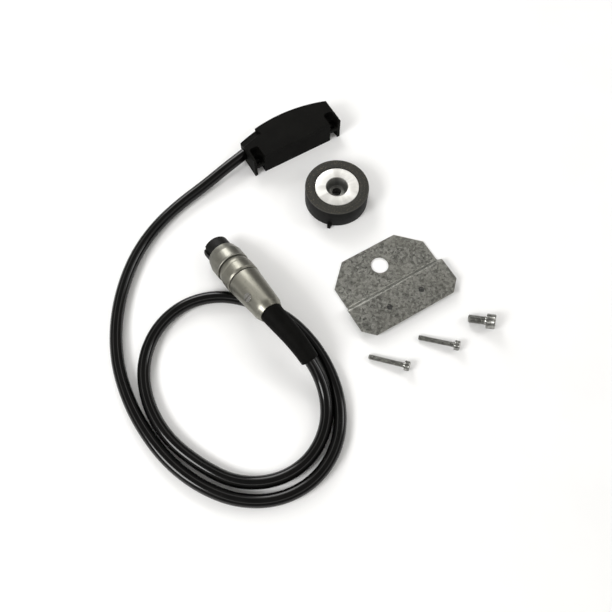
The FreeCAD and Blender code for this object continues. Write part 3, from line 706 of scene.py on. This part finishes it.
def hubFinish():
    turned = Finish("hubAluminium", Metallic=0.35)
    height = turned.axis(2)
    rings = turned.effect("turnedRings", "Rings", Scale=5200.0)
    paintedSheen = turned.effect("turnedRings", "PaintedSheenMask", Scale=5200.0)
    stain = turned.effect("speckle", "Mask", Scale=600.0, Threshold=0.67)
    face = turned.effect("bandMask", "Mask", Value=height, Low=hub["height"] * mm - 0.0001,
                         High=0.02, Softness=0.0001)
    # Painted sheen: sectors round the axis lighten and darken the turned face, standing in for its reflection
    tone = turned.mix(paintedSheen, (0.62, 0.61, 0.58, 1), (0.93, 0.925, 0.89, 1))
    tone = turned.mix(turned.times(rings, 0.25), tone, (0.97, 0.965, 0.94, 1))
    tone = turned.mix(turned.times(stain, 0.12), tone, (0.35, 0.34, 0.31, 1))
    # Painted shade: the sides and edge chamfers get a darker grey than the top face of the same aluminium
    turned.colour(turned.mix(face, (0.50, 0.495, 0.47, 1), tone))
    turned.roughness(turned.range(rings, 0.30, 0.45))
    turned.bump(rings, 0.000006)
    return turned


def makeHub():
    h = hub
    bm = turnedShape([(h["inner"], 0), (h["outer"], 0), (h["outer"], h["height"]), (h["inner"], h["height"])],
                     h["steps"])
    bevelSharp(bm, h["rim"], 2)
    return finishPiece("wheelHub", bm, hubFinish(), "magnet_wheel", "hub_aluminium", "wheel_hub")


core = {"outer": 6.65, "top": 12.9, "mouthR": 6.25, "recessR": 4.7, "recessTop": 9.9, "floor": 7.9, "holeR": 2.75,
        "seatR": 5.0, "seat": 3.0, "steps": 96}


def coreFinish():
    steel = Finish("coreSteel", Metallic=0.8)
    rings = steel.effect("turnedRings", "Rings", Scale=3600.0)
    paintedSheen = steel.effect("turnedRings", "PaintedSheenMask", Scale=3600.0)
    grain = steel.effect("fineGrain", "Blotch", Scale=9000.0)
    # Painted sheen: sectors round the axis lighten and darken the steel, standing in for its reflection
    tone = steel.mix(paintedSheen, (0.12, 0.122, 0.115, 1), (0.17, 0.172, 0.16, 1))
    steel.colour(steel.mix(steel.times(grain, 0.4), tone, (0.085, 0.08, 0.07, 1)))
    steel.roughness(steel.range(rings, 0.36, 0.52))
    steel.bump(rings, 0.000006)
    return steel


def makeCore():
    c = core
    bm = turnedShape([(c["seatR"], 0), (c["outer"], 0), (c["outer"], c["top"]), (c["mouthR"], c["top"]),
                      (c["recessR"], c["recessTop"]), (c["recessR"], c["floor"]), (c["holeR"], c["floor"]),
                      (c["holeR"], c["seat"]), (c["seatR"], c["seat"])], c["steps"])
    bevelSharp(bm, 0.14, 2)
    return finishPiece("hubCore", bm, coreFinish(), "magnet_wheel", "core_steel", "hub_core")


makeMagnetRing()
makeHub()
makeCore()
print("magnet wheel made")


# ---- sensor head
head = {"edge": 0.28}


def headFinish():
    moulded = Finish("headPlastic", Specular_IOR_Level=0.05)
    grain = moulded.effect("fineGrain", "Grain", Scale=3000.0)
    blotch = moulded.effect("fineGrain", "Blotch", Scale=1400.0)
    dust = moulded.effect("speckle", "Mask", Scale=1300.0, Threshold=0.69)
    tone = moulded.mix(blotch, (0.0022, 0.0021, 0.0018, 1), (0.0042, 0.0041, 0.0035, 1))
    tone = moulded.mix(moulded.times(grain, 0.35), tone, (0.0075, 0.0073, 0.0064, 1))
    moulded.colour(moulded.mix(moulded.times(dust, 0.12), tone, (0.06, 0.058, 0.05, 1)))
    moulded.roughness(moulded.range(grain, 0.5, 0.7))
    moulded.bump(grain, 0.00004, 0.6)
    return moulded


headPlastic = headFinish()
softened("headHousing", "head_housing", head["edge"], headPlastic, "sensor_and_cable", "head_plastic")
setFinish("head_base_cover", headPlastic)


# ---- sheet plate
plate = {"edge": 0.1}


def plateFinish():
    zinc = Finish("zincSheet", Metallic=0.9)
    flakes = zinc.effect("spangle", "Flakes", Scale=820.0)
    scratches = zinc.effect("spangle", "Scratches", Scale=820.0)
    blotch = zinc.effect("fineGrain", "Blotch", Scale=1100.0)
    tone = zinc.mix(flakes, (0.0, 0.0, 0.0, 1), (0.42, 0.42, 0.385, 1))
    tone = zinc.mix(zinc.times(blotch, 0.3), tone, (0.22, 0.215, 0.185, 1))
    zinc.colour(zinc.mix(zinc.times(scratches, 0.15), tone, (0.55, 0.55, 0.51, 1)))
    zinc.roughness(zinc.range(flakes, 0.34, 0.5))
    zinc.bump(zinc.plus(flakes, zinc.times(scratches, 0.4)), 0.000012)
    return zinc


softened("sheetPlate", "sheet_plate", plate["edge"], plateFinish(), "plate", "zinc_sheet")
print("head and plate made")


# ---- cap screws
screws = {
    "hubScrew": {"node": "hub_screw", "thread": 5.0, "length": 10.0, "head": 8.5, "high": 5.0, "socket": 4.0,
                 "deep": 2.5, "pitch": 0.8, "x": 32.8, "y": -117.1, "heading": 135.0},
    "headScrewOne": {"node": "head_screw_1", "thread": 3.0, "length": 20.0, "head": 5.5, "high": 3.0, "socket": 2.5,
                     "deep": 1.5, "pitch": 0.5, "x": 8.1, "y": -118.1, "heading": 135.0},
    "headScrewTwo": {"node": "head_screw_2", "thread": 3.0, "length": 20.0, "head": 5.5, "high": 3.0, "socket": 2.5,
                     "deep": 1.5, "pitch": 0.5, "x": -22.5, "y": -114.0, "heading": 133.5},
}
screwSteps = 72


def screwFinish():
    zinc = Finish("zincScrew", Metallic=0.95)
    grain = zinc.effect("fineGrain", "Grain", Scale=5000.0)
    blotch = zinc.effect("fineGrain", "Blotch", Scale=12000.0)
    tone = zinc.mix(blotch, (0.12, 0.12, 0.112, 1), (0.33, 0.33, 0.312, 1))
    zinc.colour(zinc.mix(zinc.times(grain, 0.3), tone, (0.62, 0.62, 0.59, 1)))
    zinc.roughness(zinc.range(grain, 0.2, 0.34))
    zinc.bump(grain, 0.000006)
    return zinc


def makeCapScrew(name, finish, node, thread, length, head, high, socket, deep, pitch, x, y, heading):
    shank, half, edge = thread / 2, head / 2, 0.08 * head
    flat, corner = socket / 2, socket / math.sqrt(3)
    rows = round((length - 0.6 - edge) / (pitch / 6))
    first, last = high + 0.6, high + length - edge
    profile = [(0, deep + 0.35), (flat, deep), (flat, 0.14), (corner + 0.06, 0.0), (half - edge, 0.0),
               (half - edge * 0.3, edge * 0.3), (half, edge), (half, edge + 0.12), (half, high - 0.42),
               (half, high - 0.3), (half - 0.08, high - 0.08), (half - 0.3, high), (shank + 0.28, high),
               (shank + 0.06, high + 0.08), (shank, high + 0.3)]
    profile += stepsBetween((shank, first), (shank, last), rows)
    profile += [(shank, last), (shank - edge, high + length), (0, high + length)]
    bm = turnedShape(profile, screwSteps)
    for vert in bm.verts:
        radius, z = vert.co.xy.length / mm, vert.co.z / mm
        if radius < 1e-4:
            continue
        angle = math.atan2(vert.co.y, vert.co.x)
        grown = radius
        if abs(radius - flat) < 1e-3 and z < deep + 0.01:                    # hexagon socket
            grown = flat / math.cos((angle % (math.pi / 3)) - math.pi / 6)
        elif edge + 0.1 < z < high - 0.4 and radius > half - 0.01 and round(angle * screwSteps / (2 * math.pi)) % 2:
            grown = radius - 0.09                                            # ribs round the head
        elif first - 0.01 <= z <= last + 0.01 and radius > shank - 0.01:
            phase = (z / pitch - angle / (2 * math.pi)) % 1.0
            fade = min(1.0, (z - first) / pitch)
            grown = radius - 0.6 * pitch * fade * max(0.0, abs(2 * phase - 1) - 0.12) / 0.88
        vert.co.x *= grown / radius
        vert.co.y *= grown / radius
    turn = math.radians(heading)
    lean = math.atan2(half - (shank - edge), length)
    way = Vector((math.cos(turn), math.sin(turn), 0))
    along = way * math.cos(lean) - Vector((0, 0, 1)) * math.sin(lean)
    side = Vector((-way.y, way.x, 0))
    bm.transform(axesMatrix(side, along.cross(side), along, Vector((x, y, 0)) * mm))
    lift = 0.02 * mm - min(v.co.z for v in bm.verts)
    bmesh.ops.translate(bm, verts=bm.verts, vec=(0, 0, lift))
    finishPiece(name, bm, finish, node, "zinc_screw", node, smooth=38)


screwZinc = screwFinish()
for screwName, screw in screws.items():
    makeCapScrew(screwName, screwZinc, **screw)
print("screws made")


# ---- parts that keep their CAD shape
def plainFinish(name, dark, light, rough, scale=2600.0, depth=0.00001, frameMatrix=None, **sockets):
    made = Finish(name, frameMatrix, **sockets)
    grain = made.effect("fineGrain", "Grain", Scale=scale)
    blotch = made.effect("fineGrain", "Blotch", Scale=scale * 1.5)
    tone = made.mix(blotch, (*dark, 1), (*light, 1))
    made.colour(made.mix(made.times(grain, 0.2), tone, (*(v * 0.8 for v in dark), 1)))
    made.roughness(made.range(grain, *rough))
    made.bump(grain, depth, 0.6)
    return made


def boardFinish():
    board = Finish("boardGreen", Specular_IOR_Level=0.5)
    grain = board.effect("fineGrain", "Grain", Scale=3000.0)
    cells = addNode(board.tree, "ShaderNodeTexBrick", {"Vector": board.place, "Scale": 420.0, "Mortar Size": 0.06,
                                                       "Color1": grey(0.0), "Color2": grey(0.0), "Mortar": grey(1.0)})
    tone = board.mix(grain, (0.010, 0.085, 0.035, 1), (0.018, 0.125, 0.052, 1))
    board.colour(board.mix(board.times(cells.outputs["Fac"], 0.5), tone, (0.05, 0.22, 0.09, 1)))
    board.roughness(board.range(grain, 0.28, 0.4))
    board.bump(cells.outputs["Fac"], 0.00002, 0.5)
    return board


def wireFinish(name, frameMatrix, byAngle):
    wires = Finish(name, frameMatrix, Specular_IOR_Level=0.5)
    if byAngle:
        x, y = wires.axis(0), wires.axis(1)
        share = mapRange(wires.tree, mathNode(wires.tree, "ARCTAN2", y, x), -math.pi, math.pi)
    else:
        share = mapRange(wires.tree, wires.axis(2), 0.0043, 0.0109)
    ramp = addNode(wires.tree, "ShaderNodeValToRGB", {0: share})
    ramp.color_ramp.interpolation = "CONSTANT"
    colours = [(0.80, 0.78, 0.72), (0.16, 0.07, 0.03), (0.05, 0.26, 0.08), (0.75, 0.55, 0.05), (0.28, 0.28, 0.28),
               (0.72, 0.30, 0.34)]
    ramp.color_ramp.elements[0].color = (*colours[0], 1)
    ramp.color_ramp.elements[1].position = 1 / 6
    ramp.color_ramp.elements[1].color = (*colours[1], 1)
    for i in range(2, 6):
        ramp.color_ramp.elements.new(i / 6).color = (*colours[i], 1)
    grain = wires.effect("fineGrain", "Grain", Scale=3200.0)
    wires.colour(wires.mix(wires.times(grain, 0.15), ramp.outputs[0], grey(0.03)))
    wires.roughness(wires.range(grain, 0.3, 0.42))
    wires.bump(grain, 0.00001, 0.5)
    return wires


def capacitorFinish():
    body = Finish("capacitorTan", Specular_IOR_Level=0.4)
    grain = body.effect("fineGrain", "Grain", Scale=5000.0)
    blotch = body.effect("fineGrain", "Blotch", Scale=16000.0)
    tone = body.mix(blotch, (0.36, 0.25, 0.13, 1), (0.47, 0.34, 0.19, 1))
    body.colour(body.mix(body.times(grain, 0.3), tone, (0.26, 0.18, 0.10, 1)))
    body.roughness(body.range(grain, 0.42, 0.55))
    body.bump(grain, 0.00001, 0.5)
    return body


setFinish("sensor_board", boardFinish())
chipBlack = plainFinish("chipBlack", (0.012, 0.012, 0.012), (0.02, 0.02, 0.02), (0.45, 0.6), 5200.0)
setFinish("hall_sensors", chipBlack)
setFinish("line_driver_chip", chipBlack)
setFinish("board_capacitors", capacitorFinish())
setFinish("head_wires", wireFinish("headWires", None, False))
setFinish("connector_wires", wireFinish("connectorWires", alongConnector, True))
setFinish("cable_crimp", plainFinish("crimpBrass", (0.42, 0.30, 0.13), (0.58, 0.44, 0.2), (0.3, 0.42), Metallic=1.0))
setFinish("contact_sockets", plainFinish("contactGilt", (0.62, 0.44, 0.16), (0.78, 0.6, 0.28), (0.18, 0.3), 5000.0,
                                         0.000004, Metallic=1.0))
carrierNickel = nickelFinish("carrierNickel", rough=(0.28, 0.4))
setFinish("insert_carrier", carrierNickel)
setFinish("cable_saddle", carrierNickel)
setFinish("friction_washer", plainFinish("washerPlastic", (0.02, 0.02, 0.019), (0.035, 0.034, 0.032), (0.3, 0.42)))
setFinish("shell_gasket", plainFinish("gasketRubber", (0.006, 0.006, 0.006), (0.012, 0.012, 0.011), (0.6, 0.75)))
print("kept parts finished")
